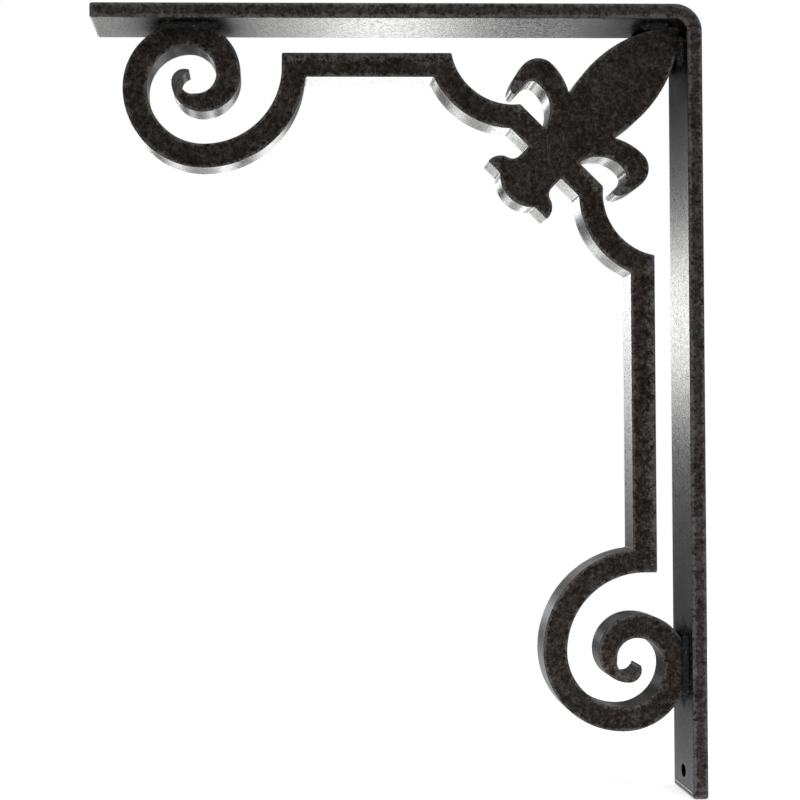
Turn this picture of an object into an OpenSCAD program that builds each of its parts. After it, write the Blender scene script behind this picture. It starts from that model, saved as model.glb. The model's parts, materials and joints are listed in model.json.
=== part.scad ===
// Wrought iron corner bracket: a flat bar bent to an L, with a cut scroll
// panel welded inside it. The panel carries a fleur-de-lis on the diagonal
// and ends in a volute at each arm.
//
// The origin is the outer corner of the bracket: X = 0 is the wall face,
// Z = 0 is the shelf face and Y = 0 is the middle of the bar's width.
// Outlines are drawn in a plan with a = distance from the wall plane and
// b = distance below the shelf plane, and plate() stands them up.

/* [Bent bar] */
// Length of the shelf leg, from the wall plane
shelf_len = 254; // [215:1:420]
// Length of the wall leg, from the shelf plane
wall_len = 330.2; // [230:1:520]
// Width of the flat bar
bar_w = 25.4; // [16:0.1:50]
// Thickness of the flat bar
bar_t = 6.35; // [4:0.05:9]
// Inside radius of the bend
bend_r = 5.2; // [2:0.1:10]
// Radius of the bar's rolled long edges
bar_edge_r = 0.9; // [0.3:0.1:1.8]

/* [Wall screw hole] */
// Diameter of the screw hole
screw_d = 5; // [3:0.1:8]
// Height of the hole's centre above the leg's lower end
screw_up = 9; // [6:0.5:14]

/* [Scroll panel] */
// Thickness of the panel's plate
panel_t = 12.7; // [6:0.1:15.9]
// Width of the cut stroke in the arms and scrolls
stroke = 10.2; // [7:0.1:12]
// Clear gap between the bar's inner faces and the straight arms
arm_gap = 12.35; // [9:0.1:16]
// Bar left past the scroll at the end of the shelf leg
shelf_margin = 12.8; // [4:0.1:30]
// Bar left past the scroll at the end of the wall leg
wall_margin = 26.9; // [18:0.1:60]

/* [Volute] */
// Straight drop from the arm's outer edge to the first turn
neck_drop = 5.25; // [2:0.1:8]
// Outer radius of the turn that leaves the arm
turn_a_r = 43; // [41:0.1:46]
// Outer radius of the turn at the foot of the scroll
turn_b_r = 33.6; // [32:0.1:35]
// Outer radius of the turn past the crown
turn_d_r = 21.6; // [20:0.1:23]
// Outer radius of the first inner turn
turn_e_r = 16.2; // [15:0.1:17.5]
// Outer radius of the second inner turn
turn_f_r = 12.7; // [12:0.1:13.5]
// Outer radius of the hook at the scroll's end
hook_r = 5.4; // [5:0.1:6]
// Radius of the round eye inside the inner turns
eye_r = 8.4; // [8:0.1:9]
// Radius of the hollow inside the hook
hook_hollow_r = 4.7; // [4:0.1:5]
// Wall of the hook at its widest
hook_wall = 3.8; // [3:0.1:4.5]
// How far the hollow's middle sits below the hook's
hook_hollow_drop = 0.3; // [0:0.1:0.8]
// How far the hook curls past its middle
hook_lip = 2; // [1:0.1:3]
// Depth ground off the scroll's crown where it seats on the bar
crown_flat = 0.6; // [0.3:0.1:1.2]

/* [Cove and band] */
// Radius of the cove between an arm and the band
cove_r = 26.6; // [24:0.1:28]
// Distance of the cove's centre from the outer corner, along the leg
cove_along = 77.6; // [74:0.1:90]
// Depth of the cove's centre below the leg's outer face
cove_deep = 13.7; // [12:0.1:15]
// Distance of the band's outer edge from the corner, on the diagonal
band_p = 81.3; // [79:0.1:83]

/* [Fleur-de-lis] */
// Half width of the central leaf
leaf_half_w = 15.1; // [12:0.1:18]
// Distance of the leaf's widest place from the corner, on the diagonal
leaf_mid_p = 48; // [45:0.1:52]
// Depth of the leaf's point set into the inside of the bend
leaf_tip_in = 1; // [0.5:0.1:2]
// Distance of the petals' shoulders from the corner, on the diagonal
petal_p = 59.8; // [58.5:0.1:61]
// Half width of the fleur-de-lis across its petals
petal_half_w = 35.3; // [34.5:0.1:36]
// Width of a petal at its shoulder
petal_w = 10.2; // [9:0.1:11]
// Radius of a petal's shoulder arc, next to the leaf
petal_shoulder_r = 27; // [25:0.5:30]
// Radius of a petal's crown arc
petal_crown_r = 8.4; // [7.5:0.1:9.5]
// Radius of a petal's back arc, from its crown to its tip
petal_back_r = 22; // [20:0.1:24]
// Radius of the opening inside a petal
petal_eye_r = 13.9; // [13.5:0.1:14.5]
// Radius of the opening's corner under the petal's crown
petal_corner_r = 3.8; // [3:0.1:4.5]
// Half distance between the undersides of the two petals' tips
petal_tip_q = 29.05; // [28.5:0.05:29.5]
// Distance of the petals' free tips from the corner, on the diagonal
petal_tip_p = 80.5; // [79.5:0.1:81]
// Radius of a petal's rounded tip
petal_tip_r = 3; // [2.5:0.1:3.5]
// Half width of the stem between the petals
stem_half_w = 10.1; // [9.5:0.1:10.5]
// Half width of the neck below the band
neck_half_w = 9.6; // [8:0.1:11]
// Distance of the foot's ears from the corner, on the diagonal
ear_p = 108; // [106:0.1:112]
// Half width of the foot across its ears
ear_half_w = 17.3; // [16:0.1:19]
// Radius of an ear
ear_r = 6.7; // [6:0.1:7.5]
// Distance of an ear's middle from the foot's flat end
ear_in = 0.7; // [0.3:0.1:2]
// Radius of the fillet between the neck and an ear
ear_fillet_r = 4; // [3:0.1:5]
// Radius of the round lobe under the foot
lobe_r = 13.8; // [12.5:0.1:15]
// Reach of the lobe past the ears
lobe_reach = 4.6; // [3:0.1:6]

/* [Weld beads] */
// Leg length of the weld beads
weld_leg = 2.6; // [2:0.1:4]
// Length of the bead on each side of a scroll's crown
scroll_weld_len = 20; // [12:1:28]
// Length of the corner beads along each leg
corner_weld_len = 7; // [5:1:9]
// Spacing of the ripples along a bead
ripple = 2.4; // [2:0.1:3]
// How far the beads' middle line stands off the faces they join
weld_proud = 0.3; // [0.1:0.05:0.6]

/* [Hidden] */
$fn = 96;
EPS = 0.01;
CUT = 1;
BIG = 2 * (shelf_len + wall_len);
iron = [0.15, 0.14, 0.13];
weld_grey = [0.24, 0.24, 0.23];

bend_out_r = bend_r + bar_t;
arm_b = bar_t + arm_gap;
seat_face = panel_t / 2;

// Volute, measured from the inside of its neck: x away from the corner, b down.
// Each turn is a quarter arc tangent to the next, so every centre follows
// from the one before it.
turn_c_r = arm_b + neck_drop + turn_a_r - turn_b_r - (bar_t - crown_flat);
turn_a = [turn_a_r - stroke, arm_b + neck_drop];
turn_b = [turn_a.x, turn_a.y + turn_a_r - turn_b_r];
turn_c = [turn_b.x + turn_b_r - turn_c_r, turn_b.y];
turn_d = [turn_c.x, turn_c.y - turn_c_r + turn_d_r];
turn_e = [turn_d.x - turn_d_r + turn_e_r, turn_d.y];
turn_f = [turn_e.x, turn_e.y + turn_e_r - turn_f_r];
hook = [turn_f.x + turn_f_r - hook_r, turn_f.y];
eye = [turn_d.x - turn_d_r + stroke + eye_r, turn_d.y];
hook_hollow = [hook.x + hook_r - hook_wall - hook_hollow_r, hook.y + hook_hollow_drop];
hook_tip = hook.x - hook_lip;
volute_w = turn_b.x + turn_b_r;

shelf_arm_end = shelf_len - shelf_margin - volute_w;
wall_arm_end = wall_len - wall_margin - volute_w;

// Fleur-de-lis on the diagonal: p from the corner, q across.
leaf_tip_p = norm([bend_out_r, bend_out_r]) - bend_r - leaf_tip_in;
leaf_half_len = leaf_mid_p - leaf_tip_p;
leaf_r = (pow(leaf_half_len, 2) + pow(leaf_half_w, 2)) / (2 * leaf_half_w);

// A petal's arcs, each tangent to the next.
petal_crown = [petal_p + petal_crown_r, petal_half_w - petal_crown_r];
petal_shoulder = [petal_p + petal_shoulder_r, petal_crown.y];
petal_back = [petal_crown.x, petal_half_w - petal_back_r];
petal_tip = inside_at_x(petal_back, petal_back_r - petal_tip_r, petal_tip_p - petal_tip_r);
petal_tip_dir = atan2(petal_tip.y - petal_back.y, petal_tip.x - petal_back.x);
petal_eye = [petal_p + petal_w + petal_eye_r, stem_half_w + petal_eye_r];
petal_corner_q = petal_tip_q - petal_corner_r;
petal_corner_dir = 180 - asin((petal_corner_q - petal_eye.y) / (petal_eye_r - petal_corner_r));
petal_corner = petal_eye + (petal_eye_r - petal_corner_r) * dir(petal_corner_dir);

// Foot: each ear and its fillet are tangent too.
ear = [ear_p - ear_in, ear_half_w - ear_r];
ear_fillet_q = neck_half_w + ear_fillet_r;
ear_fillet_dir = 180 - asin((ear_fillet_q - ear.y) / (ear_r + ear_fillet_r));
ear_fillet = ear + (ear_r + ear_fillet_r) * dir(ear_fillet_dir);
ear_touch = ear + ear_r * dir(ear_fillet_dir);

// The band runs into the arms, half way between its two edges' corners.
cove = [(cove_along + cove_deep) / sqrt(2), (cove_along - cove_deep) / sqrt(2)];
band_top_q = cove.y - sqrt(pow(cove_r, 2) - pow(band_p - cove.x, 2));
band_foot_q = cove.y - sqrt(pow(cove_r + stroke, 2) - pow(band_p + stroke - cove.x, 2));
band_half = (band_top_q + band_foot_q) / 2;

corner_weld_from = bend_out_r + weld_leg + weld_proud;

function dir(angle) = [cos(angle), sin(angle)];

// The point with a given x that lies a distance above a centre.
function inside_at_x(c, reach, x) = [x, c.y + sqrt(pow(reach, 2) - pow(x - c.x, 2))];

// ---- helpers -------------------------------------------------------------

// Stands a plan outline up as a plate centred on the bar's width.
module plate(thick) {
    rotate([90, 180, 0])
        linear_extrude(height = thick, center = true)
            children();
}

// A disc cut to the angles between from and to, which are under 120 degrees apart.
module wedge(c, r, from, to) {
    intersection() {
        translate(c)
            circle(r = r);
        polygon([c, c + 2 * r * dir(from), c + 2 * r * dir(to)]);
    }
}

// A quarter ring of the stroke's width, from an angle.
module quarter_ring(c, r, from) {
    difference() {
        wedge(c, r, from, from + 90);
        translate(c)
            circle(r = r - stroke);
    }
}

// ---- outlines ------------------------------------------------------------

// Cross-section of the rolled flat bar, centred, with rounded long edges.
module bar_section() {
    square([bar_t, bar_w - 2 * bar_edge_r], center = true);
    square([bar_t - 2 * bar_edge_r, bar_w], center = true);
    for (sx = [-1, 1], sy = [-1, 1])
        translate([sx * (bar_t / 2 - bar_edge_r), sy * (bar_w / 2 - bar_edge_r)])
            circle(r = bar_edge_r);
}

// Plan of everything on the bar's side of its inner faces.
module bar_side() {
    difference() {
        square([shelf_len, wall_len]);
        translate([bend_out_r, bend_out_r])
            circle(r = bend_r);
        translate([bend_out_r, bar_t])
            square([shelf_len, wall_len]);
        translate([bar_t, bend_out_r])
            square([shelf_len, wall_len]);
    }
}

// The hollow inside the inner turns: a round eye that narrows to the hook.
module volute_hollow() {
    intersection() {
        translate(eye)
            circle(r = eye_r);
        union() {
            translate([eye.x - eye_r, eye.y - eye_r])
                square([hook_tip - eye.x + eye_r, 2 * eye_r]);
            translate([hook_tip - EPS, hook_hollow.y])
                square([hook_hollow.x + hook_hollow_r - hook_tip + EPS, eye_r + eye.y - hook_hollow.y]);
        }
    }
    translate(hook_hollow)
        circle(r = hook_hollow_r);
}

module volute() {
    translate([-stroke, arm_b])
        square([stroke, neck_drop + EPS]);
    quarter_ring(turn_a, turn_a_r, 90);
    quarter_ring(turn_b, turn_b_r, 0);
    quarter_ring(turn_c, turn_c_r, 270);
    quarter_ring(turn_d, turn_d_r, 180);
    difference() {
        union() {
            wedge(turn_e, turn_e_r, 90, 180);
            wedge(turn_f, turn_f_r, 0, 90);
            intersection() {
                translate(hook)
                    circle(r = hook_r);
                translate([hook_tip, hook.y - hook_r])
                    square([2 * hook_r, hook_r]);
            }
        }
        volute_hollow();
    }
}

// Straight arm, cove and volute along one leg, ending at arm_end.
module arm(arm_end) {
    translate([cove_along, arm_b])
        difference() {
            square([arm_end - cove_along, stroke]);
            translate([0, cove_deep - arm_b])
                circle(r = cove_r);
        }
    intersection() {
        difference() {
            translate([cove_along, cove_deep])
                circle(r = cove_r + stroke);
            translate([cove_along, cove_deep])
                circle(r = cove_r);
        }
        translate([0, arm_b])
            square([arm_end, arm_end]);
        rotate(45)
            translate([band_p, -BIG])
                square([BIG, BIG]);
    }
    translate([arm_end, 0])
        volute();
}

module leaf() {
    intersection() {
        translate([leaf_mid_p, leaf_r - leaf_half_w])
            circle(r = leaf_r);
        translate([leaf_mid_p, leaf_half_w - leaf_r])
            circle(r = leaf_r);
    }
}

// The opening between a petal, the stem and the band.
module petal_opening() {
    wedge(petal_eye, petal_eye_r, 180, 270);
    wedge(petal_eye, petal_eye_r, petal_corner_dir, 180);
    translate(petal_corner)
        circle(r = petal_corner_r);
    translate([petal_corner.x, petal_eye.y])
        square([petal_eye.x - petal_corner.x, petal_tip_q - petal_eye.y]);
}

// A petal that curls out from the stem and back to a free, rounded tip.
module petal() {
    difference() {
        union() {
            wedge(petal_shoulder, petal_shoulder_r, 180, 270);
            wedge(petal_crown, petal_crown_r, 90, 180);
            wedge(petal_back, petal_back_r, petal_tip_dir, 90);
            translate(petal_tip)
                circle(r = petal_tip_r + EPS);
        }
        petal_opening();
        translate([petal_eye.x, -CUT])
            square([petal_shoulder_r, petal_half_w]);
    }
}

// The foot below the band: a neck, two round ears and a lobe between them.
module foot() {
    for (side = [0, 1])
        mirror([0, side]) {
            translate([band_p + stroke / 2, 0])
                square([ear_fillet.x - band_p - stroke / 2 + EPS, neck_half_w]);
            difference() {
                translate([ear_fillet.x, 0])
                    square([ear_p - ear_fillet.x, ear_touch.y]);
                translate(ear_fillet)
                    circle(r = ear_fillet_r);
            }
            intersection() {
                translate(ear)
                    circle(r = ear_r);
                square([ear_p, ear_half_w]);
            }
        }
    intersection() {
        translate([ear_p + lobe_reach - lobe_r, 0])
            circle(r = lobe_r);
        translate([ear_p - lobe_reach, -lobe_r])
            square([2 * lobe_reach, 2 * lobe_r]);
    }
}

// The leaf, its petals and the foot, with the straight band across them.
module fleur_de_lis() {
    translate([band_p, -band_half])
        square([stroke, 2 * band_half]);
    leaf();
    for (side = [0, 1])
        mirror([0, side])
            petal();
    foot();
}

module panel_profile() {
    difference() {
        union() {
            arm(shelf_arm_end);
            mirror([1, -1])
                arm(wall_arm_end);
            rotate(45)
                fleur_de_lis();
        }
        bar_side();
    }
}

// ---- parts ---------------------------------------------------------------

module bent_bar() {
    color(iron)
        difference() {
            union() {
                translate([-bend_out_r, 0, -bar_t / 2])
                    rotate([0, -90, 0])
                        linear_extrude(height = shelf_len - bend_out_r)
                            bar_section();
                translate([-bar_t / 2, 0, -bend_out_r])
                    rotate([180, 0, 0])
                        linear_extrude(height = wall_len - bend_out_r)
                            bar_section();
                translate([-bend_out_r, 0, -bend_out_r])
                    rotate([90, 0, 0])
                        rotate_extrude(angle = 90)
                            translate([bend_r + bar_t / 2, 0])
                                bar_section();
            }
            translate([-bar_t - CUT, 0, screw_up - wall_len])
                rotate([0, 90, 0])
                    cylinder(d = screw_d, h = bar_t + 2 * CUT);
        }
}

module scroll_panel() {
    color(iron)
        plate(panel_t)
            panel_profile();
}

// Overlapping round ripples along both sides of the panel, on the shelf
// leg's inner face, from a distance along the leg.
module bead_rows(from, len) {
    count = round(len / ripple);
    for (side = [-1, 1], i = [0 : count])
        translate([-from - i * len / count, side * (seat_face + weld_proud), -bar_t - weld_proud])
            sphere(r = weld_leg, $fn = 32);
}

// Carries what is on the shelf leg over to the wall leg.
module on_wall_leg() {
    mirror([1, 0, -1])
        children();
}

// Cuts a bead back to the faces it joins.
module between_faces() {
    difference() {
        children();
        plate(bar_w)
            bar_side();
        scroll_panel();
    }
}

module shelf_scroll_weld() {
    color(weld_grey)
        between_faces()
            bead_rows(shelf_arm_end + turn_c.x - scroll_weld_len / 2, scroll_weld_len);
}

module wall_scroll_weld() {
    color(weld_grey)
        between_faces()
            on_wall_leg()
                bead_rows(wall_arm_end + turn_c.x - scroll_weld_len / 2, scroll_weld_len);
}

module corner_weld() {
    color(weld_grey)
        between_faces()
            union() {
                bead_rows(corner_weld_from, corner_weld_len);
                on_wall_leg()
                    bead_rows(corner_weld_from, corner_weld_len);
            }
}

bent_bar();
scroll_panel();
shelf_scroll_weld();
wall_scroll_weld();
corner_weld();
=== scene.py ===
import json
import math
from functools import reduce
from operator import add

import bmesh
import bpy
import numpy as np
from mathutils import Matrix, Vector, geometry, noise

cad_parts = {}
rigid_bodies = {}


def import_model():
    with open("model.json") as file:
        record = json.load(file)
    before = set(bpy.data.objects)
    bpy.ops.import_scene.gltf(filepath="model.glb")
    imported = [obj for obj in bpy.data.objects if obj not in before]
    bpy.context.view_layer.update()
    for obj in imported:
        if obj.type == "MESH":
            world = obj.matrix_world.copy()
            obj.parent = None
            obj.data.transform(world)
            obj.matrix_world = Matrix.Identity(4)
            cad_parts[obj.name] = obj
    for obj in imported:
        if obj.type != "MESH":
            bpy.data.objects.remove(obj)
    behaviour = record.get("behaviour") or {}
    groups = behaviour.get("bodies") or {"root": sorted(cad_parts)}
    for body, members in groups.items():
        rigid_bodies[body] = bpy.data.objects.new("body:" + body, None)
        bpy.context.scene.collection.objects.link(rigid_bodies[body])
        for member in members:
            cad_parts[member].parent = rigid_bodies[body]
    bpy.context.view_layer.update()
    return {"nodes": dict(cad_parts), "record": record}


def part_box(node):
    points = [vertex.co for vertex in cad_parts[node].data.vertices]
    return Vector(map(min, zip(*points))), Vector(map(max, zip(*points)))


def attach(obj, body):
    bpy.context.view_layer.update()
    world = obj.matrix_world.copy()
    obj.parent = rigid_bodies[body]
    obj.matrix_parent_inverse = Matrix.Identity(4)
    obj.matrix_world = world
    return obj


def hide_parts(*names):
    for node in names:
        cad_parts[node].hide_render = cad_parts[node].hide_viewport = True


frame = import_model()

bl_info = {
    "name": "Wrought Iron Bracket",
    "version": (1, 0, 0),
    "blender": (4, 5, 0),
    "location": "View3D > Sidebar > Bracket",
    "description": "Dresses the packed bracket in forged iron, with rough welds and a studio",
    "category": "Object",
}

MM = 0.001
NODES = frame["nodes"]
BAR_LOW, BAR_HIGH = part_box("bent_bar")
BAR_WIDTH = BAR_HIGH.y - BAR_LOW.y
PANEL_LOW, PANEL_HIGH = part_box("scroll_panel")
HOLE = next(m for m in frame["record"]["mounts"] if m["name"] == "wall_screw_hole")
_, HOLE_Y, HOLE_Z = HOLE["pos_m"]
HOLE_RADIUS = HOLE["dims"]["r_mm"] * MM
# each weld, and how far the soot and painted shade round it spread on the walls, in millimetres
WELDS = {"shelf_scroll_weld": 13, "wall_scroll_weld": 20, "corner_weld": 30}


# ---------------------------------------------------------------- sizes and colours

def length(name, description, default, low, high):
    """A length in metres that a user can change."""
    return bpy.props.FloatProperty(
        name=name, description=description, default=default,
        min=low, max=high, precision=5, unit="LENGTH")


def colour(name, description, default):
    """A colour that a user can change."""
    return bpy.props.FloatVectorProperty(
        name=name, description=description, default=default,
        size=3, min=0, max=1, subtype="COLOR")


def share(name, description, default):
    """A number from 0 to 1 that a user can change."""
    return bpy.props.FloatProperty(
        name=name, description=description, default=default,
        min=0, max=1, subtype="FACTOR")


class BracketSizes(bpy.types.PropertyGroup):
    bar_thick: length(
        "Bar thickness", "Thickness of the bent flat bar", 6.35 * MM, 3 * MM, 12 * MM)
    bar_edge: length(
        "Bar edge radius", "Rounding of the bar's rolled edges", 0.9 * MM, 0.3 * MM, 2 * MM)
    bend_inner: length(
        "Bend radius", "Inner radius of the bar's bend", 5.2 * MM, 2 * MM, 20 * MM)
    bar_end: length(
        "Bar end rounding", "Rounding round the bar's sawn ends", 1.1 * MM, 0.1 * MM, 1.4 * MM)
    panel_edge: length(
        "Panel edge rounding", "Rounding along the panel's cut edges",
        0.6 * MM, 0.1 * MM, 0.9 * MM)
    hole_edge: length(
        "Hole edge rounding", "Rounding round the screw hole", 0.3 * MM, 0.1 * MM, 0.6 * MM)
    weld_grain: length(
        "Weld grain", "Size of the lumps on the welds", 1.1 * MM, 0.4 * MM, 3 * MM)
    weld_relief: length(
        "Weld relief", "Height of the lumps on the welds", 0.32 * MM, 0, 1 * MM)


class BracketFinish(bpy.types.PropertyGroup):
    scale_dark: colour("Dark scale", "Darkest colour of the black scale", (0.0100, 0.0062, 0.0046))
    scale_light: colour("Light scale", "Lightest colour of the black scale", (0.128, 0.119, 0.110))
    worn: colour("Worn edge", "Colour of the rubbed edges", (0.165, 0.158, 0.150))
    bar_steel: colour("Bar walls", "Colour of the bar's satin walls", (0.235, 0.235, 0.232))
    panel_steel: colour("Panel walls", "Colour of the panel's cut walls", (0.42, 0.42, 0.417))
    # the soot colour is also the painted shade on the walls beside the welds and in the dulled
    # zones
    soot_and_shade: colour("Soot", "Colour burnt on beside the welds", (0.0055, 0.0052, 0.0050))
    weld: colour("Weld", "Lightest colour of the weld metal", (0.21, 0.21, 0.205))
    speckle: share("Speckle", "How strongly the scale is speckled", 0.8)


class StudioSettings(bpy.types.PropertyGroup):
    floor: colour("Floor", "Colour of the pale floor", (0.80, 0.80, 0.80))
    floor_size: length("Floor size", "Width of the floor", 0.8, 0.5, 4.0)


# ---------------------------------------------------------------- shader writing

class Wire:
    """A number socket whose arithmetic adds Math nodes."""

    def __init__(self, recipe, socket):
        self.recipe, self.socket = recipe, socket

    def calc(self, operation, *values):
        return self.recipe.node("ShaderNodeMath", {"operation": operation}, list(values))["Value"]

    def __add__(self, other):
        return self.calc("ADD", self, other)

    def __radd__(self, other):
        return self.calc("ADD", other, self)

    def __sub__(self, other):
        return self.calc("SUBTRACT", self, other)

    def __rsub__(self, other):
        return self.calc("SUBTRACT", other, self)

    def __mul__(self, other):
        return self.calc("MULTIPLY", self, other)

    def __rmul__(self, other):
        return self.calc("MULTIPLY", other, self)

    def __abs__(self):
        return self.calc("ABSOLUTE", self)

    def most(self, other):
        return self.calc("MAXIMUM", self, other)

    def rise(self, low, high):
        """0 below low and 1 above high, turning smoothly between; high under low falls instead."""
        if high < low:
            return 1 - self.rise(high, low)
        settings = {"interpolation_type": "SMOOTHSTEP"}
        return self.recipe.node("ShaderNodeMapRange", settings, {
            "Value": self, "From Min": low, "From Max": high})["Result"]


class Outputs:
    """The outputs of a node, by name, as wires."""

    def __init__(self, recipe, made):
        self.recipe, self.made = recipe, made

    def __getitem__(self, name):
        for socket in self.made.outputs:
            if socket.name == name and socket.enabled:
                return Wire(self.recipe, socket)
        raise KeyError(name)


class Recipe:
    """A node tree that is written in lines of Python."""

    def __init__(self, tree):
        self.tree = tree
        self.tree.nodes.clear()

    def node(self, kind, settings=None, inputs=None):
        """Adds a node: its type, its settings, and the values or wires of its sockets."""
        made = self.tree.nodes.new(kind)
        for key, value in (settings or {}).items():
            setattr(made, key, value)
        pairs = enumerate(inputs) if isinstance(inputs, (list, tuple)) else (inputs or {}).items()
        for key, value in pairs:
            socket = made.inputs[key]
            if isinstance(key, str) and not socket.enabled:
                socket = next(s for s in made.inputs if s.name == key and s.enabled)
            if isinstance(value, Wire):
                self.tree.links.new(value.socket, socket)
            else:
                socket.default_value = value
        return Outputs(self, made)

    def mix(self, factor, low, high):
        """Mixes two colours by a factor."""
        return self.node("ShaderNodeMix", {"data_type": "RGBA"}, {
            "Factor": factor, "A": opaque(low), "B": opaque(high)})["Result"]

    def vector(self, operation, first, second):
        """Vector maths with a vector result."""
        return self.node(
            "ShaderNodeVectorMath", {"operation": operation}, [first, second])["Vector"]

    def grain(self, place, scale, detail=3.0, rough=0.55, warp=0.0):
        """Noise from 0 to 1 at a scale in lumps per metre."""
        return self.node("ShaderNodeTexNoise", None, {
            "Vector": place, "Scale": scale, "Detail": detail,
            "Roughness": rough, "Distortion": warp})["Fac"]

    def cells(self, place, scale):
        """Distance to the nearest cell point, at a scale in cells per metre."""
        return self.node("ShaderNodeTexVoronoi", None, {
            "Vector": place, "Scale": scale})["Distance"]

    def surface(self, inputs):
        """The material's surface, as one principled shader with these inputs."""
        shader = self.node("ShaderNodeBsdfPrincipled", None, inputs)["BSDF"]
        self.node("ShaderNodeOutputMaterial", None, {"Surface": shader})


def opaque(value):
    """A colour of three numbers with its alpha, or a wire as it is."""
    return value if isinstance(value, Wire) else (*value, 1.0)


def new_material(name):
    """A named material with its recipe."""
    material = bpy.data.materials.new(name)
    material.use_nodes = True
    return material, Recipe(material.node_tree)


def nearness(recipe, place, centre, reach):
    """1 at a point, falling evenly to 0 at the reach along each axis."""
    offset = recipe.vector("SUBTRACT", place, tuple(centre))
    offset = recipe.vector("MULTIPLY", offset, tuple(1 / r for r in reach))
    return 1 - recipe.node("ShaderNodeVectorMath", {"operation": "LENGTH"}, [offset])["Value"]


def greatest(wires):
    """The highest of several wires at each point."""
    return reduce(Wire.most, wires)


def weighed(wires, weights):
    """The sum of wires by weight, without those of no weight."""
    return reduce(add, [wire * weight for wire, weight in zip(wires, weights) if weight])


def near_welds(recipe, place, spreads):
    """1 at the middle of each weld, falling to 0 a spread in millimetres beyond its ends."""
    near = []
    for weld, spread in spreads.items():
        low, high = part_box(weld)
        reach = [half + spread * MM for half in (high - low) / 2]
        near.append(nearness(recipe, place, (low + high) / 2, reach))
    return greatest(near)


# how far each weld burnt the iron beside it, in millimetres
BURNT_SPREAD = 9
# where the walls beside the welds are dulled by heat and darkened by painted shade: middle and
# reach
DULL_SHADE_ZONES = (
    ((-0.004, 0.0, -0.010), (0.062, 0.060, 0.105)),
    ((-0.004, 0.0, -0.275), (0.120, 0.060, 0.105)),
    ((-0.2136, 0.0, -0.010), (0.036, 0.050, 0.050)),
)
# the iron's cloud, patch, mottle and speck: lumps per metre, detail, roughness, warp
IRON_GRAIN = ((48, 3, 0.6, 0.3), (150, 4, 0.62, 0.5), (480, 3, 0.6, 0.5), (1150, 2, 0.55, 0.3))
# how strongly the cloud, patch, mottle and speck, which swing about 0, break up each thing
BREAK_UP = {
    "scale": (0.25, 0.55, 1.05, 0.80),
    "smoke": (0.5, 0, 0.7, 1.1),
    "burnt": (0, 0.5, 0, 0.55),
    "sooty": (0, 0, 0.6, 0.7),
    "spatter": (0, 0, 0.45, 0.75),
    "rubbed": (0, 0.9, 0.9, 0.9),
    "pitted": (0, 1, 0, 0),
    "sheen": (0, 0, 0.9, 1.9),
    "rough": (0, 0, 0.3, 0),
    "relief": (0, 0.5, 0.5, 0.55),
    "burnt_relief": (0, 0, 1.5, 1.5),
}
# the values at which each mask is none and at which it is full
RAMP = {
    "wall": (0.62, 0.20), "outside": (0.2, 0.6), "light": (-0.38, 0.56), "rubbed": (0.28, 0.92),
    "pit": (0.30, 0.10), "pitted": (-0.04, 0.10), "scratch": (0.0045, 0.0012),
    "burnt": (0.04, 0.40), "smoke": (0.04, 0.60), "dull": (0.0, 0.85), "sooty": (0.07, 0.27),
    "by_weld": (-0.55, 0.15), "spatter": (0.07, 0.20),
}
# how strongly each mark covers what lies under it
COVER = {
    "rubbed": 0.78, "scratch": 0.36, "smoke": 0.80, "burnt": 0.94, "spatter": 0.55,
    "sooty": 0.55, "clean": 0.93, "pit": 0.7, "dull": 0.92,
}
# metal and roughness of walls and broad faces, and how much burning and dulling change them
WALL_METAL, RUBBED_METAL, METAL_DULLED = 0.94, 0.25, 0.95
FACE_ROUGH, BURNT_ROUGH, DULL_ROUGH = 0.55, 0.36, 0.10
# how much sheen the plain walls have, how much painted highlight the rims add to it, and how far
# rims are rubbed
SHEEN, RIM_HIGHLIGHT, RIM_RUBBED = 0.80, 0.15, 0.66
# depth of pits and scratches beside the grain's relief, and how much flatter the walls are
PIT_DEPTH, SCRATCH_DEPTH, WALL_FLAT = 0.5, 0.3, 0.62
IRON_RELIEF, IRON_BUMP = 0.14 * MM, 0.8
IRON_SPECULAR, WELD_SPECULAR = 0.06, 0.3
# pits per metre
PITS = 700
# fine scratches: turn in radians, scale per metre, and how rare they are
SCRATCHES = ((0.75, 95, 0.60), (-0.35, 70, 0.62), (1.9, 110, 0.61))
# how far along they are stretched, their fineness and their gaps' beside that scale, and how
# softly they end
SCRATCH_STRETCH, SCRATCH_FINE, SCRATCH_GAPS, SCRATCH_ENDS = 0.035, 3, 0.45, 0.05
# the weld's lump and speck, in the same terms as the iron's grain, and its bump
WELD_GRAIN = ((620, 4, 0.65, 0.5), (1500, 3, 0.6))
WELD_BUMP_DEPTH, WELD_BUMP = 0.2 * MM, 0.9


def scratches(r, place):
    """Hair lines that lie a few ways, each broken off where a wide noise is low."""
    lines = []
    for turn, scale, rare in SCRATCHES:
        lie = r.node("ShaderNodeMapping", None, {
            "Vector": place, "Rotation": (0, turn, 0),
            "Scale": (1.0, 1.0, SCRATCH_STRETCH)})["Vector"]
        line = abs(r.grain(lie, scale * SCRATCH_FINE, 1, 0.4) - 0.5).rise(*RAMP["scratch"])
        gaps = r.grain(place, scale * SCRATCH_GAPS, 1).rise(rare, rare + SCRATCH_ENDS)
        lines.append(line * gaps)
    return greatest(lines)


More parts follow.
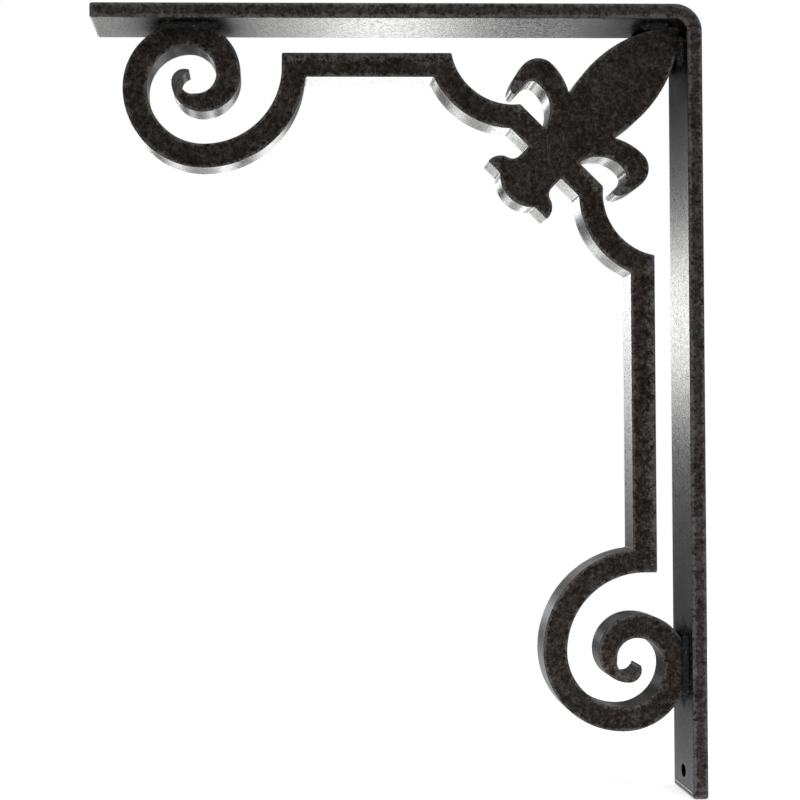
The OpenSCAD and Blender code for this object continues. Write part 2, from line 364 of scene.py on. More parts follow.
def iron_material(name, finish, wall_steel, paleness, wall_rough, clean_outside):
    """Black forge scale on the broad faces, satin side walls with a painted highlight on their
    rims, rubbed edges, and soot by the welds, spread out with painted shade that also darkens the
    dulled walls.
    The outside of the bar, which faces up or to the wall, keeps clean of the soot, the painted
    shade and the weld marks."""
    material, r = new_material(name)
    place = r.node("ShaderNodeTexCoord")["Object"]
    normal = r.node("ShaderNodeNewGeometry")["Normal"]
    faces = r.node("ShaderNodeSeparateXYZ", None, [normal])
    wall = abs(faces["Y"]).rise(*RAMP["wall"])
    outside = faces["X"].most(faces["Z"]).rise(*RAMP["outside"])
    # only the inner sides take the soot, the painted shade, the burn and the spatter
    smoked_and_shaded = 1 - outside * (COVER["clean"] if clean_outside else 0.0)
    rim = r.node("ShaderNodeAttribute", {"attribute_name": "rim"})["Fac"]

    grains = [r.grain(place, *grain) - 0.5 for grain in IRON_GRAIN]
    broken = {thing: weighed(grains, weights) for thing, weights in BREAK_UP.items()}
    pit = r.cells(place, PITS).rise(*RAMP["pit"]) * broken["pitted"].rise(*RAMP["pitted"])
    scratch = scratches(r, place)

    near = near_welds(r, place, dict.fromkeys(WELDS, BURNT_SPREAD))
    burnt = (near + broken["burnt"]).rise(*RAMP["burnt"]) * smoked_and_shaded
    # soot and painted shade: darkens the walls round the welds, where the parts meet
    smoke = (near_welds(r, place, WELDS) + broken["smoke"]).rise(*RAMP["smoke"]) * smoked_and_shaded
    spatter = broken["spatter"].rise(*RAMP["spatter"]) * near.rise(*RAMP["by_weld"]) * smoked_and_shaded
    # dulled by heat and darkened by painted shade: the walls round the welds and down to the foot
    # turn darker and less metallic
    dull = [nearness(r, place, *zone).rise(*RAMP["dull"]) for zone in DULL_SHADE_ZONES]
    dull = greatest(dull) * smoked_and_shaded

    light = (broken["scale"] + paleness).rise(*RAMP["light"])
    light = light * (0.5 + light * 0.5) * finish.speckle
    face = r.mix(light, finish.scale_dark, finish.scale_light)
    rubbed = (rim * RIM_RUBBED + broken["rubbed"]).rise(*RAMP["rubbed"])
    face = r.mix(rubbed * COVER["rubbed"], face, finish.worn)
    face = r.mix(scratch * COVER["scratch"], face, finish.worn)

    # the rims of the walls get a painted highlight
    sheen = SHEEN + rim * RIM_HIGHLIGHT + broken["sheen"]
    # the dulled zones darken the walls' colour as painted shade
    sheen = (1 - pit * COVER["pit"]) * (1 - dull * COVER["dull"]) * sheen
    steel = r.mix(sheen, finish.soot_and_shade, wall_steel)
    crumbs = broken["sooty"].rise(*RAMP["sooty"]) * COVER["sooty"]
    sooty = r.mix(crumbs, finish.soot_and_shade, finish.weld)
    tone = r.mix(wall, face, steel)
    # the walls near the welds darken with soot and painted shade
    tone = r.mix(smoke * COVER["smoke"] * wall, tone, finish.soot_and_shade)
    tone = r.mix(burnt * COVER["burnt"], tone, r.mix(wall, face, sooty))
    tone = r.mix(spatter * COVER["spatter"] * wall, tone, finish.weld)

    metal = wall * WALL_METAL * (1 - burnt) * (1 - dull * METAL_DULLED)
    metal = metal + (1 - wall) * rubbed * RUBBED_METAL
    rough = FACE_ROUGH + broken["rough"] - wall * (FACE_ROUGH - wall_rough)
    rough = rough + (burnt * BURNT_ROUGH + dull * DULL_ROUGH) * wall
    height = broken["relief"] - pit * PIT_DEPTH - scratch * SCRATCH_DEPTH
    height = height * (1 - wall * WALL_FLAT) + burnt * broken["burnt_relief"]
    bump = r.node("ShaderNodeBump", None, {
        "Strength": IRON_BUMP, "Distance": IRON_RELIEF, "Height": height})
    r.surface({
        "Base Color": tone, "Metallic": metal, "Roughness": rough,
        "Normal": bump["Normal"], "Specular IOR Level": IRON_SPECULAR})
    return material


def weld_material(finish):
    """Rough burnt weld metal, black in the hollows and grey on the lumps."""
    material, r = new_material("weld_metal_rough")
    place = r.node("ShaderNodeTexCoord")["Object"]
    lump, speck = (r.grain(place, *grain) for grain in WELD_GRAIN)
    high = r.node("ShaderNodeAttribute", {"attribute_name": "rim"})["Fac"]
    shine = (high * 0.25 + lump * 0.5 + (speck - 0.5) * 1.9).rise(0.50, 0.98)
    bump = r.node("ShaderNodeBump", None, {
        "Strength": WELD_BUMP, "Distance": WELD_BUMP_DEPTH, "Height": lump + speck * 0.8})
    r.surface({
        "Base Color": r.mix(shine, finish.soot_and_shade, finish.weld), "Metallic": shine * 0.5,
        "Roughness": 0.70 - shine * 0.28, "Normal": bump["Normal"],
        "Specular IOR Level": WELD_SPECULAR})
    return material


# ---------------------------------------------------------------- mesh making

WORN_BAND = 1.9 * MM
# the points inside a broad face: how far apart, how many of the last ones each is held against,
# and the share of the band that keeps one clear of the far side
WORN_SPACING, RECENT, CLEAR = 1.6 * MM, 40, 0.97
SAME_POINT = 1e-8


def shown(name, mesh, rims, material):
    """An object of the mesh with its rim values and material, linked to the scene."""
    mesh.attributes.new("rim", "FLOAT", "POINT").data.foreach_set("value", rims)
    mesh.materials.clear()
    mesh.materials.append(material)
    made = bpy.data.objects.new(name, mesh)
    bpy.context.scene.collection.objects.link(made)
    return made


def stand_for(piece, node):
    """The piece rides on the one body and stands for its node of the frame."""
    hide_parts(node)
    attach(piece, "root")


class Builder:
    """Collects points, faces, normals and rim values."""

    def __init__(self):
        self.points, self.faces, self.normals, self.rims = [], [], [], []

    def ring(self, points, normals, rim=0.0):
        """Adds a ring of points and returns their numbers. The rim is one value or a list."""
        start = len(self.points)
        self.points += [tuple(p) for p in points]
        self.normals += [tuple(n) for n in normals]
        self.rims += list(rim) if isinstance(rim, (list, tuple)) else [rim] * len(points)
        return list(range(start, len(self.points)))

    def band(self, first, second, skip=()):
        """Joins two rings of the same length by a closed band of faces."""
        count = len(first)
        for i in range(count):
            if i not in skip:
                j = (i + 1) % count
                self.faces.append((first[i], first[j], second[j], second[i]))

    def fill(self, loops):
        """Fills flat loops of ring numbers, the first one outermost."""
        flat = [n for loop in loops for n in loop]
        corners = [[Vector(self.points[n]) for n in loop] for loop in loops]
        for triangle in geometry.tessellate_polygon(corners):
            self.facing(*(flat[n] for n in triangle))

    def facing(self, *face):
        """Adds a triangle, turned to face as its first point's normal does."""
        a, b, c = (Vector(self.points[n]) for n in face)
        if (b - a).cross(c - a).dot(Vector(self.normals[face[0]])) < 0:
            face = face[::-1]
        self.faces.append(face)

    def fill_worn(self, ring, normal):
        """Fills a flat ring that faces front or back. Points that stand a worn band inside it mark
        where the rim value ends."""
        level = self.points[ring[0]][1]
        border = [Vector((self.points[n][0], self.points[n][2])) for n in ring]
        inner = inside_points(border, WORN_BAND, WORN_SPACING)
        numbers = ring + self.ring([(p.x, level, p.y) for p in inner], [normal] * len(inner))
        loop = [(i, (i + 1) % len(border)) for i in range(len(border))]
        made = geometry.delaunay_2d_cdt(border + inner, loop, [], 1, SAME_POINT)
        for face in made[2]:
            self.facing(*(numbers[made[3][n][0]] for n in face))

    def piece(self, name, material):
        """The piece, smooth and with its own normals."""
        mesh = bpy.data.meshes.new(name)
        mesh.from_pydata(self.points, [], self.faces)
        mesh.shade_smooth()
        normals = [Vector(n).normalized() for n in self.normals]
        mesh.normals_split_custom_set_from_vertices(normals)
        return shown(name, mesh, self.rims, material)


def inside_points(border, depth, spacing):
    """Points a depth inside a closed border, none nearer to it, and about a spacing apart."""
    line = np.array([tuple(p) for p in border])
    along = np.roll(line, -1, axis=0) - line
    squared = (along ** 2).sum(1)
    kept = []
    for point, (normal, mitre) in zip(border, outward(border)):
        spot = point - normal * depth * mitre
        others = kept[-RECENT:] + kept[:2]
        if others and min((spot - other).length for other in others) < spacing:
            continue
        gap = np.array(tuple(spot)) - line
        part = np.clip((gap * along).sum(1) / squared, 0, 1)[:, None]
        if np.sqrt(((gap - along * part) ** 2).sum(1)).min() > depth * CLEAR:
            kept.append(spot)
    return kept


def quarter(steps):
    """Sine and cosine pairs over a quarter turn."""
    angles = [math.pi / 2 * i / steps for i in range(steps + 1)]
    return [(math.sin(angle), math.cos(angle)) for angle in angles]


# the bar

CORNER_STEPS, STRAIGHT_STEPS, BEND_STEPS, END_STEPS = 5, 24, 28, 4
EDGE_STEPS, HOLE_STEPS = 3, 48
# half the height of the flat patch that the screw hole is cut from
HOLE_PATCH = 6 * MM
LEAST_RADIUS = 0.05 * MM
# a worn band takes up no more than this share of a flat
WIDEST_BAND = 0.42


def bar_section(sizes, inset=0.0):
    """The bar's cross-section as (depth in, across, normal in, normal across, rim), going round.
    Each corner's arc is followed by two points of the flat, a worn band in from its edges."""
    thick = sizes.bar_thick
    radius = max(sizes.bar_edge - inset, LEAST_RADIUS)
    across, deep = BAR_WIDTH / 2 - inset - radius, thick / 2 - inset - radius
    corners = ((-1, -1, 180), (1, -1, 270), (1, 1, 0), (-1, 1, 90))
    section = []
    for a, d, start in corners:
        for i in range(CORNER_STEPS + 1):
            angle = math.radians(start + 90 * i / CORNER_STEPS)
            na, nd = math.cos(angle), math.sin(angle)
            depth = thick / 2 + d * deep + nd * radius
            section.append((depth, a * across + na * radius, nd, na, 1.0))
        t, y, nd, na, _ = section[-1]
        run = 2 * across if abs(nd) > 0.5 else 2 * deep
        band = min(WORN_BAND, run * WIDEST_BAND)
        for along in (band, run - band):
            section.append((t + na * along, y - nd * along, nd, na, 0.0))
    return section


def bar_stations(sizes):
    """Where the section stands along the bar, each as a point of the outer face and the way in,
    from the shelf end to the foot. Also the number of the last one above the hole."""
    outer = sizes.bend_inner + sizes.bar_thick
    shelf_end, foot = BAR_LOW.x + sizes.bar_end, BAR_LOW.z + sizes.bar_end
    down, from_wall = (0.0, -1.0), (-1.0, 0.0)
    stations = [((shelf_end, 0.0), down)]
    start = shelf_end + WORN_BAND
    for i in range(STRAIGHT_STEPS):
        stations.append(((start + (-outer - start) * i / STRAIGHT_STEPS, 0.0), down))
    for i in range(BEND_STEPS + 1):
        angle = math.pi / 2 * (1 - i / BEND_STEPS)
        out = Vector((math.cos(angle), math.sin(angle)))
        stations.append(((-outer + outer * out.x, -outer + outer * out.y), (-out.x, -out.y)))
    above = HOLE_Z + HOLE_PATCH
    for i in range(1, STRAIGHT_STEPS + 1):
        z = -outer + (above + outer) * i / STRAIGHT_STEPS
        stations.append(((0.0, z), from_wall))
    before_hole = len(stations) - 1
    for z in (HOLE_Z - HOLE_PATCH, foot + WORN_BAND, foot):
        stations.append(((0.0, z), from_wall))
    return stations, before_hole


def stood(section, station):
    """The points and normals of the section at a station."""
    (x, z), (ix, iz) = station
    points = [(x + ix * t, y, z + iz * t) for t, y, _, _, _ in section]
    return points, [(ix * nt, ny, iz * nt) for _, _, nt, ny, _ in section]


def round_end(build, sizes, ring, station, tip, first):
    """Rounds an end over from its ring, which is the bar's first or last, and closes it flat."""
    tip = Vector(tip)
    last = ring
    for sine, cosine in quarter(END_STEPS)[1:]:
        points, normals = stood(bar_section(sizes, sizes.bar_end * (1 - cosine)), station)
        points = [Vector(p) + tip * sizes.bar_end * sine for p in points]
        normals = [Vector(n) * cosine + tip * sine for n in normals]
        ring = build.ring(points, normals, 1.0)
        build.band(*((last, ring) if first else (ring, last)))
        last = ring
    points, _ = stood(bar_section(sizes, sizes.bar_end + WORN_BAND), station)
    cap = build.ring([Vector(p) + tip * sizes.bar_end for p in points], [tip] * len(points))
    build.band(*((last, cap) if first else (cap, last)))
    build.fill([cap])


def hole_mouth(build, sizes, frame_points, face_x, side):
    """Fills the flat round the screw hole on one side and rounds the hole's rim over. Returns the
    ring where the straight wall begins."""
    turns = [2 * math.pi * i / HOLE_STEPS for i in range(HOLE_STEPS)]
    circle = [(math.cos(turn), math.sin(turn)) for turn in turns]
    mouths = []
    for sine, cosine in quarter(EDGE_STEPS):
        reach = HOLE_RADIUS + sizes.hole_edge * (1 - sine)
        depth = face_x - side * sizes.hole_edge * (1 - cosine)
        points = [(depth, HOLE_Y + reach * c, HOLE_Z + reach * s) for c, s in circle]
        normals = [(side * cosine, -c * sine, -s * sine) for c, s in circle]
        mouths.append(build.ring(points, normals, 1.0))
    build.fill([build.ring(frame_points, [(side, 0, 0)] * 4), mouths[0]])
    for a, b in zip(mouths, mouths[1:]):
        build.band(*((a, b) if side < 0 else (b, a)))
    return mouths[-1]


def bar_piece(sizes, material):
    """The bent flat bar, swept along its bend, with rounded ends and its screw hole."""
    build = Builder()
    stations, before_hole = bar_stations(sizes)
    section = bar_section(sizes)
    rings = []
    for station in stations:
        points, normals = stood(section, station)
        rings.append(build.ring(points, normals, [point[4] for point in section]))
    for ring in (rings[0], rings[-1]):
        build.rims[ring[0]:ring[-1] + 1] = [1.0] * len(ring)
    outer_flat = CORNER_STEPS + 1
    inner_flat = outer_flat + 2 * (CORNER_STEPS + 3)
    for i in range(len(rings) - 1):
        build.band(rings[i + 1], rings[i], (outer_flat, inner_flat) if i == before_hole else ())
    round_end(build, sizes, rings[0], stations[0], (-1, 0, 0), True)
    round_end(build, sizes, rings[-1], stations[-1], (0, 0, -1), False)

    above, below = rings[before_hole], rings[before_hole + 1]
    tube = []
    for face_x, side, flat in ((0.0, 1.0, outer_flat), (-sizes.bar_thick, -1.0, inner_flat)):
        rectangle = [above[flat], above[flat + 1], below[flat + 1], below[flat]]
        points = [build.points[n] for n in rectangle]
        tube.append(hole_mouth(build, sizes, points, face_x, side))
    build.band(tube[1], tube[0])
    return build.piece("iron_bar", material)


# the scroll panel

# points nearer than this are one, and normals that point this far forward are of the front
MERGE_GAP, FORWARD = 1e-7, -0.99
# a turn in radians above which an outline counts as bent, and the share of a bend's radius and the
# slope that its rounding keeps to
BENT, ROOM_SHARE, ROOM_SLOPE = 0.02, 0.8, 0.35
# points that turn less than this lie on arcs, and more than the sharp turn are corners
GENTLE, BARELY, SHARP = (math.radians(angle) for angle in (12, 0.4, 11.5))
LONGEST_STEP, SHORTEST_STEP = 6.5 * MM, 0.10 * MM
# how far a corner looks for its neighbours, how much of the way to them its curve may take, and
# how far it reaches beside the edge rounding, for turns up to the widest
CORNER_REACH, CORNER_SHARE, CORNER_TRIM, WIDEST_TURN = 4 * MM, 0.48, 1.25, 2.4
CURVE_TURN = math.radians(18)
LONGEST_MITRE = 2


def rounding_room(points, turns, edge):
    """How far the edge rounding may reach in at each point, less where the outline is tight."""
    count = len(points)
    steps = [(points[i] - points[i - 1]).length for i in range(count)]
    room = []
    for i, turn in enumerate(turns):
        tight = edge * 2
        if turn > BENT:
            tight = (steps[i] + steps[(i + 1) % count]) / 2 / turn
        room.append(min(edge, tight * ROOM_SHARE))
    for order in (range(-count, count), range(count, -count, -1)):
        last = None
        for k in order:
            i = k % count
            if last is not None:
                gap = (points[i] - points[last]).length
                room[i] = min(room[i], room[last] + ROOM_SLOPE * gap)
            last = i
    return room


def front_outline(node):
    """The panel's front outline in order, as flat (x, z) points, the solid on the left."""
    bm = bmesh.new()
    bm.from_mesh(node.data)
    bmesh.ops.remove_doubles(bm, verts=bm.verts, dist=MERGE_GAP)
    front = {f for f in bm.faces if f.normal.y < FORWARD}
    following = {}
    for face in front:
        for loop in face.loops:
            if not any(g in front for g in loop.edge.link_faces if g is not face):
                following[loop.vert] = loop.link_loop_next.vert
    start = min(following, key=lambda v: (v.co.x, v.co.z))
    outline, vert = [], start
    while True:
        outline.append(Vector((vert.co.x, vert.co.z)))
        vert = following[vert]
        if vert is start:
            break
    bm.free()
    if len(outline) != len(following):
        raise RuntimeError("the panel's front has more than one outline")
    return outline


def turns_of(points):
    """The signed turn at each point of a closed outline."""
    turns = []
    for i, point in enumerate(points):
        coming, going = point - points[i - 1], points[(i + 1) % len(points)] - point
        turns.append(math.atan2(coming.x * going.y - coming.y * going.x, coming.dot(going)))
    return turns


def finer_arcs(points):
    """Halves the steps of the arcs, with each new point on the arc; corners and straights stay."""
    turns, finer = turns_of(points), []
    for i, point in enumerate(points):
        after = (i + 1) % len(points)
        finer.append(point)
        chord = points[after] - point
        curved = [t for t in (turns[i], turns[after]) if abs(t) < GENTLE]
        bow = sum(curved) / len(curved) if curved else 0.0
        same_way = turns[i] * turns[after] >= 0
        if abs(bow) > BARELY and chord.length < LONGEST_STEP and same_way:
            out = Vector((chord.y, -chord.x)).normalized()
            middle = (point + points[after]) / 2
            finer.append(middle + out * chord.length / 2 * math.tan(bow / 4))
    return finer


def walk(points, start, step, distance):
    """The point a distance along the outline from a corner, and the numbers passed on the way."""
    passed, here, i = [], points[start], start
    while True:
        following = (i + step) % len(points)
        gap = (points[following] - here).length
        if gap >= distance:
            return here.lerp(points[following], distance / gap), passed
        distance -= gap
        passed.append(following)
        here, i = points[following], following


def way_to(points, start, end, step):
    """How far another corner is along the outline, counted until just past the corner reach."""
    total, i = 0.0, start
    while i != end and total < CORNER_REACH:
        following = (i + step) % len(points)
        total += (points[following] - points[i]).length
        i = following
    return total


def corner_curve(back, corner, ahead, turn):
    """Points of an arc-like curve from back to ahead, pulled towards the corner."""
    bits = max(3, round(abs(turn) / CURVE_TURN))
    pull = math.cos(turn / 2)
    curve = []
    for bit in range(bits + 1):
        s = bit / bits
        shares = ((1 - s) ** 2, 2 * s * (1 - s) * pull, s ** 2)
        spot = back * shares[0] + corner * shares[1] + ahead * shares[2]
        curve.append(spot / sum(shares))
    return curve


def soft_corners(points, edge):
    """Rounds each sharp corner just enough for the edge rounding to follow it."""
    turns = turns_of(points)
    sharp = [i for i, t in enumerate(turns) if abs(t) > SHARP]
    dropped, curves = set(), {}
    for order, i in enumerate(sharp):
        before, after = sharp[order - 1], sharp[(order + 1) % len(sharp)]
        gap = min(way_to(points, i, before, -1), way_to(points, i, after, 1))
        trim = CORNER_TRIM * edge * math.tan(min(abs(turns[i]), WIDEST_TURN) / 2)
        trim = min(max(edge, trim), CORNER_SHARE * gap)
        back, passed_back = walk(points, i, -1, trim)
        ahead, passed_on = walk(points, i, 1, trim)
        dropped.update(passed_back, passed_on)
        curves[i] = corner_curve(back, points[i], ahead, turns[i])
    softened = []
    for i, point in enumerate(points):
        if i in curves:
            softened += curves[i]
        elif i not in dropped:
            softened.append(point)
    return [p for i, p in enumerate(softened) if (p - softened[i - 1]).length > SHORTEST_STEP]


def outward(points):
    """The outward normal and the mitre length at each point."""
    found = []
    for i, point in enumerate(points):
        coming = (point - points[i - 1]).normalized()
        going = (points[(i + 1) % len(points)] - point).normalized()
        first, second = Vector((coming.y, -coming.x)), Vector((going.y, -going.x))
        middle = (first + second).normalized()
        found.append((middle, 1 / max(middle.dot(first), 1 / LONGEST_MITRE)))
    return found


def panel_piece(sizes, material):
    """The cut scroll panel: its outline with rounded edges, front and back."""
    build = Builder()
    edge = sizes.panel_edge
    outline = finer_arcs(finer_arcs(front_outline(NODES["scroll_panel"])))
    outline = soft_corners(outline, edge)
    normals = outward(outline)
    room = [depth / edge for depth in rounding_room(outline, turns_of(outline), edge)]
    low, high = PANEL_LOW.y, PANEL_HIGH.y

    profile = [(low + edge + WORN_BAND, 0.0, 1.0, 0.0, 0.0)]
    for sine, cosine in quarter(EDGE_STEPS):
        profile.append((low + edge * (1 - sine), edge * (1 - cosine), cosine, -sine, 1.0))
    profile.reverse()
    for y, inset, flat, face, rim in profile[::-1]:
        profile.append((low + high - y, inset, flat, -face, rim))

    rings = []
    for y, inset, flat, face, rim in profile:
        points = []
        for p, (n, mitre), share in zip(outline, normals, room):
            reach = inset * mitre * share
            points.append((p.x - n.x * reach, y, p.y - n.y * reach))
        rings.append(build.ring(points, [(n.x * flat, face, n.y * flat) for n, _ in normals], rim))
    for first, second in zip(rings, rings[1:]):
        build.band(second, first)
    build.fill_worn(rings[0], (0, -1, 0))
    build.fill_worn(rings[-1], (0, 1, 0))
    return build.piece("iron_scroll_panel", material)


# the welds

FUSE_SIZE = 0.34 * MM
# the lumps' noise: how fast finer layers fade, how much finer each is, and how many there are
LUMPS = (0.9, 2.1, 4)
# how much finer the fine noise is, and how high the lumps and it stand and how deep all is sunk
FINER, LUMP_LIFT, FINE_LIFT, SUNK = 3.7, 0.8, 0.35, 0.25


def weld_piece(node, sizes, material):
    """One node's beads, fused into a lumpy skin that keeps their form. The rim value says how high
    each point of the skin stands."""
    name = "rough_" + node
    fused = bpy.data.objects.new("fused_" + node, NODES[node].data.copy())
    bpy.context.scene.collection.objects.link(fused)
    remesh = fused.modifiers.new("fuse", "REMESH")
    remesh.mode, remesh.voxel_size = "VOXEL", FUSE_SIZE
    smooth = fused.modifiers.new("ease", "SMOOTH")
    smooth.factor, smooth.iterations = 0.5, 2
    ready = fused.evaluated_get(bpy.context.evaluated_depsgraph_get())
    mesh = bpy.data.meshes.new_from_object(ready)
    bpy.data.objects.remove(fused)
    mesh.name = name

    grain = 1 / sizes.weld_grain
    low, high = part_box(node)
    spots = [(v.co.copy(), v.normal.copy()) for v in mesh.vertices]
    rims = []
    for vertex, (spot, normal) in zip(mesh.vertices, spots):
        lump = noise.fractal(spot * grain, *LUMPS)
        fine = noise.noise(spot * grain * FINER)
        lift = sizes.weld_relief * (LUMP_LIFT * lump + FINE_LIFT * fine - SUNK)
        moved = spot + normal * lift
        vertex.co = [min(max(c, a), b) for c, a, b in zip(moved, low, high)]
        rims.append(min(max(0.5 + 1.1 * lump, 0.0), 1.0))
    mesh.shade_smooth()
    return shown(name, mesh, rims, material)


# ---------------------------------------------------------------- the stage

CAMERA = {
    "location": (-0.17991, -0.52292, -0.18848),
    "turn": (90.506, 0.332, -1.303),
    "lens": 55.856,
    "shift": (0.125, 0.06),
    "clip": (0.01, 50),
}
# how far the floor lies under the foot, how strongly it glows, and how dark its clouds are
FLOOR_GAP, FLOOR_GLOW, FLOOR_UNEVEN = 0.2 * MM, 0.60, 0.985
WHITE = (1, 1, 1, 1)
# how bright the tent is all round, and what it adds each way
TENT = {"all": 0.05, "behind": 0.08, "right": 0.35, "above": 0.75, "low": 0.75}
# the direction's back, right or up at which each begins and is full; the low one keeps left
TENT_RAMP = {
    "behind": (0.15, 0.45), "right": (0.1, 0.9), "above": (0.30, 0.9),
    "low": (-0.14, -0.30), "left": (0.16, 0.0),
}
# glowing panels behind: lowest and highest (right, up) of their directions, softness, brightness
PANELS = (
    ((-0.62, 0.052), (-0.225, 0.160), 0.022, 5.0),
    ((0.045, -0.62), (0.134, -0.225), 0.028, 5.0),
    ((-0.30, -0.31), (-0.18, -0.13), 0.030, 3.4),
    ((0.190, -0.19), (0.305, 0.06), 0.035, 3.6),
    ((-0.12, 0.205), (0.10, 0.30), 0.040, 1.8),
)
# name, place, what it looks at, width and height, brightness beside the white background's 1
SOFTBOXES = (
    ("overhead", (-0.40, -0.45, 1.20), (-0.13, 0.0, -0.10), (1.2, 1.2), 0.8),
    ("near_corner", (0.05, -0.45, 0.35), (-0.05, 0.0, -0.03), (0.35, 0.35), 2.1),
)


def between(wire, low, high, soft):
    """1 between two values, falling softly to 0 beyond them."""
    return wire.rise(low - soft, low + soft) * wire.rise(high + soft, high - soft)


def studio_world():
    """A soft tent: dim in front, paler below, bright above, with glowing panels behind.
    What is seen directly is plain white."""
    world = bpy.data.worlds.new("studio")
    world.use_nodes = True
    r = Recipe(world.node_tree)
    aim = r.node("ShaderNodeTexCoord")["Generated"]
    split = r.node("ShaderNodeSeparateXYZ", None, [aim])
    right, back, up = split["X"], split["Y"], split["Z"]
    behind = back.rise(*TENT_RAMP["behind"])
    level = TENT["all"] + behind * TENT["behind"]
    level = level + right.rise(*TENT_RAMP["right"]) * TENT["right"]
    level = level + up.rise(*TENT_RAMP["above"]) * TENT["above"]
    low_left = up.rise(*TENT_RAMP["low"]) * right.rise(*TENT_RAMP["left"])
    level = level + behind * low_left * TENT["low"]
    for lows, highs, soft, bright in PANELS:
        across = between(right, lows[0], highs[0], soft)
        rising = between(up, lows[1], highs[1], soft)
        level = level + across * rising * behind * bright
    seen = r.node("ShaderNodeLightPath")["Is Camera Ray"]
    lit, plain = (r.node("ShaderNodeBackground", None, {
        "Color": WHITE, "Strength": strength})["Background"] for strength in (level, 1.0))
    both = r.node("ShaderNodeMixShader", None, [seen, lit, plain])["Shader"]
    r.node("ShaderNodeOutputWorld", None, {"Surface": both})
    return world


def floor_material(tint):
    """A plain pale floor with the faintest unevenness, lit a little from within."""
    material, r = new_material("pale_floor")
    cloud = r.grain(r.node("ShaderNodeTexCoord")["Object"], 3, 2)
    r.surface({
        "Base Color": r.mix(cloud * 0.5, tint, [c * FLOOR_UNEVEN for c in tint]),
        "Roughness": 0.9, "Specular IOR Level": 0.2,
        "Emission Color": WHITE, "Emission Strength": FLOOR_GLOW})
    return material


def softbox(name, location, target, size, brightness):
    """A soft panel of light that looks at a point and isn't seen itself."""
    light = bpy.data.lights.new(name, "AREA")
    light.shape = "RECTANGLE"
    light.size, light.size_y = size
    light.energy = brightness * math.pi * size[0] * size[1]
    lamp = bpy.data.objects.new(name, light)
    lamp.location = location
    lamp.rotation_euler = (Vector(target) - Vector(location)).to_track_quat("-Z", "Y").to_euler()
    lamp.visible_camera = False
    bpy.context.scene.collection.objects.link(lamp)


# ---------------------------------------------------------------- operators

class BRACKET_OT_bent_bar(bpy.types.Operator):
    """Makes the bent flat bar with its rolled edges and screw hole"""
    bl_idname = "bracket.bent_bar"
    bl_label = "Make Bent Bar"

    def execute(self, context):
        sizes, finish = context.scene.bracket_sizes, context.scene.bracket_finish
        material = iron_material(
            "rolled_iron", finish, finish.bar_steel,
            paleness=0.075, wall_rough=0.27, clean_outside=True)
        stand_for(bar_piece(sizes, material), "bent_bar")
        return {"FINISHED"}


class BRACKET_OT_scroll_panel(bpy.types.Operator):
    """Makes the cut scroll panel with its rounded edges"""
    bl_idname = "bracket.scroll_panel"
    bl_label = "Make Scroll Panel"

    def execute(self, context):
        sizes, finish = context.scene.bracket_sizes, context.scene.bracket_finish
        material = iron_material(
            "cut_iron", finish, finish.panel_steel,
            paleness=-0.035, wall_rough=0.30, clean_outside=False)
        stand_for(panel_piece(sizes, material), "scroll_panel")
        return {"FINISHED"}


class BRACKET_OT_welds(bpy.types.Operator):
    """Makes the rough weld beads where the panel meets the bar"""
    bl_idname = "bracket.welds"
    bl_label = "Make Welds"

    def execute(self, context):
        scene = context.scene
        material = weld_material(scene.bracket_finish)
        for node in WELDS:
            stand_for(weld_piece(node, scene.bracket_sizes, material), node)
        return {"FINISHED"}


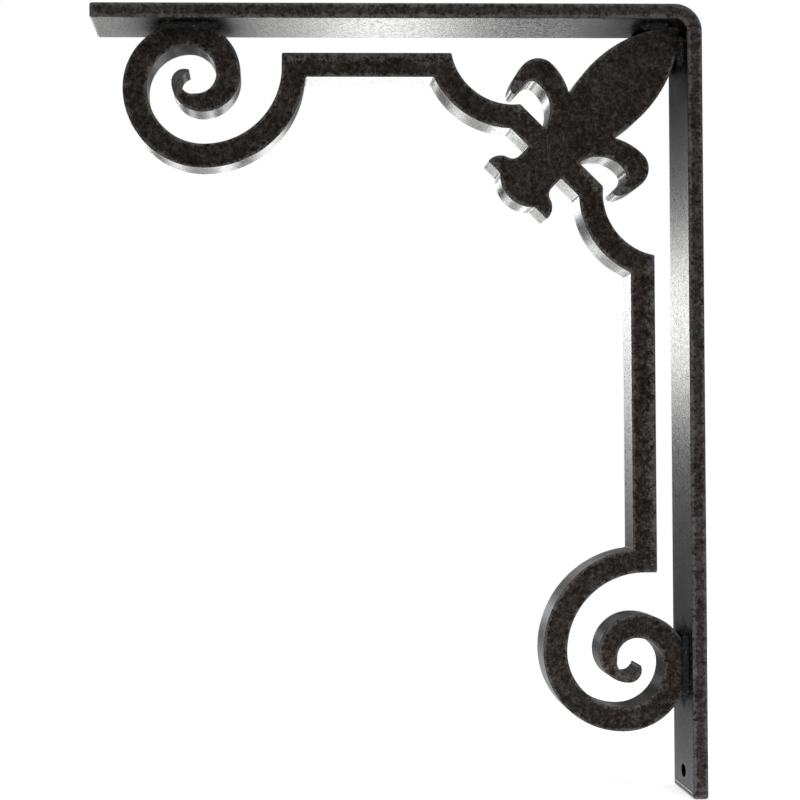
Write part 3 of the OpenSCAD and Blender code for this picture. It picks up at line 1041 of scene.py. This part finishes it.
class BRACKET_OT_stage(bpy.types.Operator):
    """Makes the pale floor, the soft studio light and the camera"""
    bl_idname = "bracket.stage"
    bl_label = "Make Stage"

    def execute(self, context):
        scene = context.scene
        settings = scene.bracket_studio
        half, level = settings.floor_size / 2, BAR_LOW.z - FLOOR_GAP
        middle = (BAR_LOW + BAR_HIGH) / 2
        mesh = bpy.data.meshes.new("pale_floor")
        sides = ((-half, -half), (half, -half), (half, half), (-half, half))
        corners = [(middle.x + x, middle.y + y, level) for x, y in sides]
        mesh.from_pydata(corners, [], [(0, 1, 2, 3)])
        mesh.materials.append(floor_material(settings.floor))
        floor = bpy.data.objects.new("pale_floor", mesh)
        scene.collection.objects.link(floor)
        scene.world = studio_world()
        scene.view_settings.view_transform = "Standard"
        for box in SOFTBOXES:
            softbox(*box)
        camera = bpy.data.cameras.new("camera")
        camera.lens = CAMERA["lens"]
        camera.shift_x, camera.shift_y = CAMERA["shift"]
        camera.clip_start, camera.clip_end = CAMERA["clip"]
        viewer = bpy.data.objects.new("camera", camera)
        viewer.location = CAMERA["location"]
        viewer.rotation_euler = [math.radians(a) for a in CAMERA["turn"]]
        scene.collection.objects.link(viewer)
        scene.camera = viewer
        return {"FINISHED"}


OPERATORS = (BRACKET_OT_bent_bar, BRACKET_OT_scroll_panel, BRACKET_OT_welds, BRACKET_OT_stage)
GROUPS = (
    ("bracket_sizes", BracketSizes),
    ("bracket_finish", BracketFinish),
    ("bracket_studio", StudioSettings),
)


class BRACKET_PT_sidebar(bpy.types.Panel):
    """Lists the bracket's sizes, finish and operators"""
    bl_label = "Wrought Iron Bracket"
    bl_idname = "BRACKET_PT_sidebar"
    bl_space_type = "VIEW_3D"
    bl_region_type = "UI"
    bl_category = "Bracket"

    def draw(self, context):
        for attribute, group in GROUPS:
            box = self.layout.box()
            for key in group.__annotations__:
                box.prop(getattr(context.scene, attribute), key)
        for operator in OPERATORS:
            self.layout.operator(operator.bl_idname)


def register():
    for attribute, group in GROUPS:
        bpy.utils.register_class(group)
        setattr(bpy.types.Scene, attribute, bpy.props.PointerProperty(type=group))
    for cls in (*OPERATORS, BRACKET_PT_sidebar):
        bpy.utils.register_class(cls)


def unregister():
    for cls in (BRACKET_PT_sidebar, *reversed(OPERATORS)):
        bpy.utils.unregister_class(cls)
    for attribute, group in reversed(GROUPS):
        delattr(bpy.types.Scene, attribute)
        bpy.utils.unregister_class(group)


def main():
    """Makes every piece in order."""
    register()
    for spare in [o for o in bpy.data.objects if o.name in ("Cube", "Light", "Camera")]:
        bpy.data.objects.remove(spare)
    bpy.ops.bracket.bent_bar()
    bpy.ops.bracket.scroll_panel()
    bpy.ops.bracket.welds()
    bpy.ops.bracket.stage()
    bpy.context.view_layer.update()


if __name__ == "__main__":
    main()
